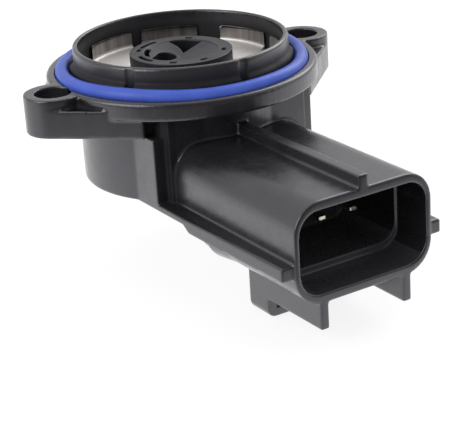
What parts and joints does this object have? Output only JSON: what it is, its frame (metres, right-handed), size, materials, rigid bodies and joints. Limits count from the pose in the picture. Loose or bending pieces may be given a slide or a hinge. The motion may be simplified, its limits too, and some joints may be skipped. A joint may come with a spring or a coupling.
{
  "type": "throttle position sensor",
  "caption": "Rotary throttle position sensor with a screw flange, pilot collar, seal ring, sprung rotor and a shrouded plug socket.",
  "frame": {"origin": "on the rotor's axis, in the flange's mounting face, midway between the two screw holes", "axes": "+Z out of the mounting face along the rotor's axis, X through the two screw holes, plug socket towards -Y"},
  "size_m": [0.054, 0.0672, 0.0337],
  "materials": {
    "housing_plastic": "moulded black glass-filled plastic, satin",
    "cover_plastic": "moulded black plastic, matt",
    "potting": "cured sealant, satin",
    "seal_rubber": "blue silicone rubber, satin",
    "retainer_steel": "bright stamped stainless sheet",
    "rotor_plastic": "moulded black plastic, smooth",
    "spring_steel": "drawn spring wire",
    "arm_plastic": "natural moulded plastic",
    "contact_metal": "bright contact alloy",
    "board_ceramic": "fired pale substrate",
    "track_carbon": "printed resistive film",
    "trace_silver": "printed silver film",
    "terminal_tin": "tinned brass"
  },
  "bodies": {
    "case": {"housing": "housing_plastic", "back_cover": "cover_plastic", "cover_seal": "potting", "seal_ring": "seal_rubber", "crown_retainer": "retainer_steel", "return_spring": "spring_steel", "track_board": "board_ceramic", "resistive_track": "track_carbon", "conductor_traces": "trace_silver", "supply_terminal": "terminal_tin", "signal_terminal": "terminal_tin", "ground_terminal": "terminal_tin", "supply_clip": "contact_metal", "signal_clip": "contact_metal", "ground_clip": "contact_metal"},
    "turning_set": {"rotor": "rotor_plastic", "contact_arm": "arm_plastic", "wiper": "contact_metal"}
  },
  "joints": [
    {"name": "rotor_turn", "type": "hinge", "parent": "case", "child": "turning_set", "pos_m": [0, 0, 0], "axis": [0, 0, 1], "range_deg": [0, 100], "stiffness_Nm_per_rad": 0.006, "springref_deg": -34.38, "deforming": ["return_spring"]}
  ]
}
